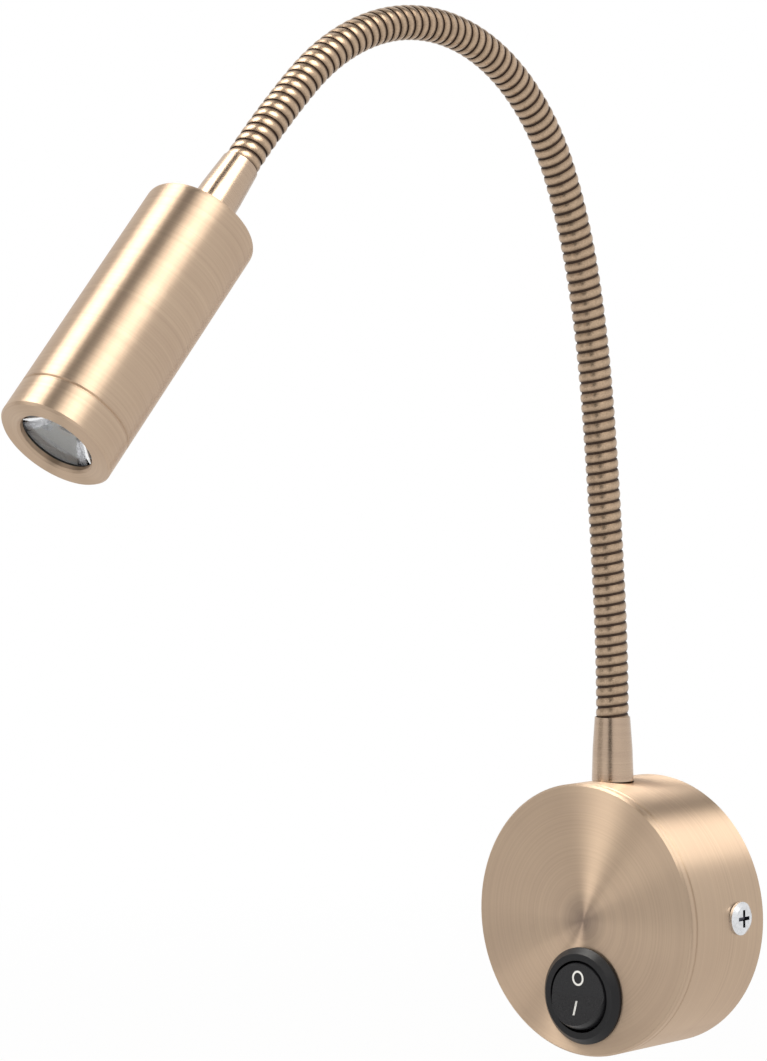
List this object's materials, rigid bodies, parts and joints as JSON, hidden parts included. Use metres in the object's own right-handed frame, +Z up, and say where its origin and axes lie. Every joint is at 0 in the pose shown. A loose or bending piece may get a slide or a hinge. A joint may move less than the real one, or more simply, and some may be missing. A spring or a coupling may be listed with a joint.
{
  "type": "bedside wall reading lamp",
  "caption": "Wall reading lamp with a round canopy, a rocker switch, a bendable metal hose and a small cylindrical spot head.",
  "frame": {"origin": "centre of the canopy's back, on the wall plane", "axes": "+Z up, -Y out of the wall towards the room, +Y into the wall, +X to the right as seen from the room"},
  "size_m": [0.0688, 0.2083, 0.2491],
  "materials": {
    "antique_brass": "brushed antique brass",
    "hose_brass": "antique brass wound wire, dark in the grooves",
    "zinc_steel": "bright zinc plated steel",
    "black_plastic": "satin black moulded plastic",
    "white_plastic": "white moulded plastic",
    "grey_rubber": "soft rubber",
    "contact_brass": "bare brass",
    "spring_steel": "bare spring steel",
    "board": "solder-resist coated board",
    "slug_aluminium": "turned aluminium",
    "led_board_white": "white coated board",
    "phosphor": "orange-yellow phosphor",
    "clear_lens": "clear moulded lens",
    "lead_black": "black lead insulation",
    "lead_brown": "brown lead insulation",
    "lead_blue": "blue lead insulation",
    "lead_clear": "light grey sheathed twin lead"
  },
  "bodies": {
    "canopy": {"wall_plate": "zinc_steel", "cable_grommet": "grey_rubber", "canopy_ring": "antique_brass", "front_plate": "antique_brass", "side_screws": "zinc_steel", "switch_housing": "black_plastic", "switch_terminals": "contact_brass", "driver_case": "white_plastic", "driver_lid": "white_plastic", "driver_board": "board", "driver_transformer": "black_plastic", "driver_capacitor": "black_plastic", "terminal_block": "white_plastic", "terminal_screws": "zinc_steel", "live_lead": "lead_brown", "switched_lead": "lead_black", "neutral_lead": "lead_blue", "lamp_lead": "lead_clear", "base_ferrule": "antique_brass", "base_washer": "zinc_steel", "base_nut": "zinc_steel", "hose_root": "hose_brass"},
    "rocker": {"rocker": "black_plastic", "rocker_plunger": "white_plastic", "plunger_spring": "spring_steel"},
    "contact_lever": {"contact_lever": "contact_brass"},
    "hose_01": {"hose_stretch_01": "hose_brass", "hose_lead_01": "lead_clear"},
    "hose_02": {"hose_stretch_02": "hose_brass", "hose_lead_02": "lead_clear"},
    "hose_03": {"hose_stretch_03": "hose_brass", "hose_lead_03": "lead_clear"},
    "hose_04": {"hose_stretch_04": "hose_brass", "hose_lead_04": "lead_clear"},
    "hose_05": {"hose_stretch_05": "hose_brass", "hose_lead_05": "lead_clear"},
    "hose_06": {"hose_stretch_06": "hose_brass", "hose_lead_06": "lead_clear"},
    "hose_07": {"hose_stretch_07": "hose_brass", "hose_lead_07": "lead_clear"},
    "hose_08": {"hose_stretch_08": "hose_brass", "hose_lead_08": "lead_clear"},
    "hose_09": {"hose_stretch_09": "hose_brass", "hose_lead_09": "lead_clear"},
    "hose_10": {"hose_stretch_10": "hose_brass", "hose_lead_10": "lead_clear"},
    "head": {"hose_tip": "hose_brass", "head_ferrule": "antique_brass", "head_nut": "zinc_steel", "head_barrel": "antique_brass", "heat_sink": "slug_aluminium", "led_board": "led_board_white", "led_emitter": "phosphor", "board_screws": "zinc_steel", "lens": "clear_lens", "lens_holder": "white_plastic", "lens_seal": "grey_rubber", "bezel_ring": "antique_brass", "head_lead": "lead_clear"}
  },
  "joints": [
    {"name": "rocker_press", "type": "hinge", "parent": "canopy", "child": "rocker", "pos_m": [0, -0.0275, -0.0183], "axis": [1, 0, 0], "range_deg": [0, 20]},
    {"name": "contact_rock", "type": "hinge", "parent": "canopy", "child": "contact_lever", "pos_m": [0, -0.0184, -0.0183], "axis": [1, 0, 0], "range_deg": [-12, 0]},
    {"name": "sway_00", "type": "hinge", "parent": "canopy", "child": "hose_01", "pos_m": [0, -0.0165, 0.0504], "axis": [0, 1, 0], "range_deg": [-25, 25]},
    {"name": "bend_01", "type": "hinge", "parent": "hose_01", "child": "hose_02", "pos_m": [0, -0.01742, 0.07663], "axis": [1, 0, 0], "range_deg": [-2, 10]},
    {"name": "bend_02", "type": "hinge", "parent": "hose_02", "child": "hose_03", "pos_m": [0, -0.01948, 0.1028], "axis": [1, 0, 0], "range_deg": [-3, 10]},
    {"name": "bend_03", "type": "hinge", "parent": "hose_03", "child": "hose_04", "pos_m": [0, -0.02222, 0.1289], "axis": [1, 0, 0], "range_deg": [-5, 10]},
    {"name": "bend_04", "type": "hinge", "parent": "hose_04", "child": "hose_05", "pos_m": [0, -0.02689, 0.15472], "axis": [1, 0, 0], "range_deg": [-18, 10]},
    {"name": "sway_05", "type": "hinge", "parent": "hose_05", "child": "hose_06", "pos_m": [0, -0.03553, 0.17946], "axis": [0, 0.9063, 0.4226], "range_deg": [-25, 25]},
    {"name": "bend_06", "type": "hinge", "parent": "hose_06", "child": "hose_07", "pos_m": [0, -0.05147, 0.20005], "axis": [1, 0, 0], "range_deg": [-25, 8]},
    {"name": "bend_07", "type": "hinge", "parent": "hose_07", "child": "hose_08", "pos_m": [0, -0.07496, 0.21113], "axis": [1, 0, 0], "range_deg": [-25, 8]},
    {"name": "bend_08", "type": "hinge", "parent": "hose_08", "child": "hose_09", "pos_m": [0, -0.10093, 0.20988], "axis": [1, 0, 0], "range_deg": [-25, 8]},
    {"name": "bend_09", "type": "hinge", "parent": "hose_09", "child": "hose_10", "pos_m": [0, -0.12377, 0.19735], "axis": [1, 0, 0], "range_deg": [-18, 10]},
    {"name": "sway_10", "type": "hinge", "parent": "hose_10", "child": "head", "pos_m": [0, -0.14265, 0.17912], "axis": [0, -0.7314, 0.682], "range_deg": [-25, 25]}
  ],
  "couplings": [
    {"joint": "contact_rock", "follows": "rocker_press", "ratio": -0.6}
  ]
}
